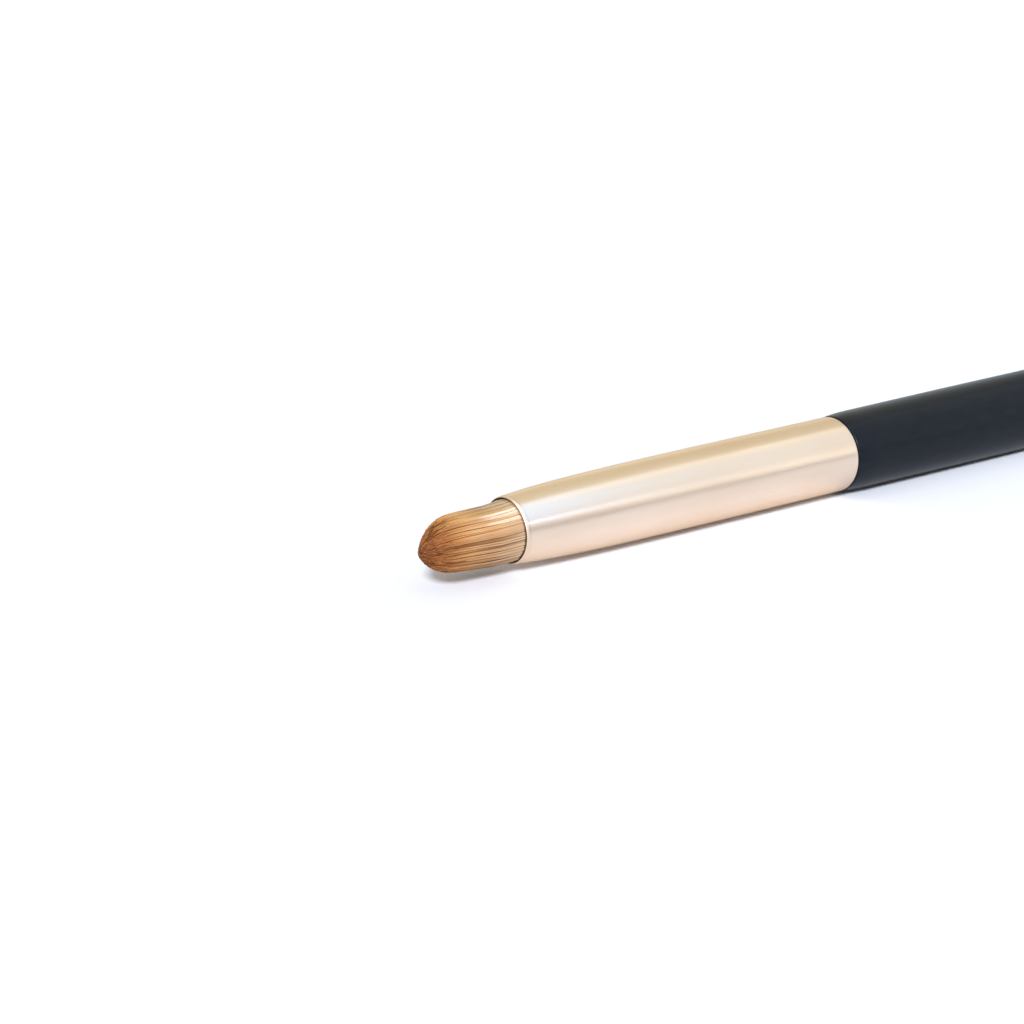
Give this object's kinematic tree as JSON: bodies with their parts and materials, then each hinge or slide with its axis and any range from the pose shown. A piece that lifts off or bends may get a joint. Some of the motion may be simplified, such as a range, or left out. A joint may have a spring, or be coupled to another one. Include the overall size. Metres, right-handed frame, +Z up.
{
  "type": "concealer brush",
  "caption": "Slim cosmetic brush: a dome-cut tan bristle tuft in a tapered champagne ferrule, on a turned black lacquered handle.",
  "frame": {"origin": "on the surface that the brush lies on, below the middle of its length", "axes": "+X along the brush's axis from the tuft to the tail, +Z up, with the brush lying on its side"},
  "size_m": [0.1709, 0.0088, 0.0088],
  "materials": {
    "tan_fibre": "fine glossy synthetic hair, tan with brown cut tips",
    "waxed_thread": "matte waxed thread",
    "epoxy_resin": "clear amber, glossy",
    "champagne_aluminium": "satin champagne-gold anodised",
    "cured_glue": "cured wood glue",
    "black_lacquer": "satin black lacquer over turned birch"
  },
  "bodies": {
    "root": {"bristle_tuft": "tan_fibre", "binding_thread": "waxed_thread", "root_glue_plug": "epoxy_resin", "ferrule": "champagne_aluminium", "tenon_glue_film": "cured_glue", "handle": "black_lacquer"}
  },
  "joints": []
}
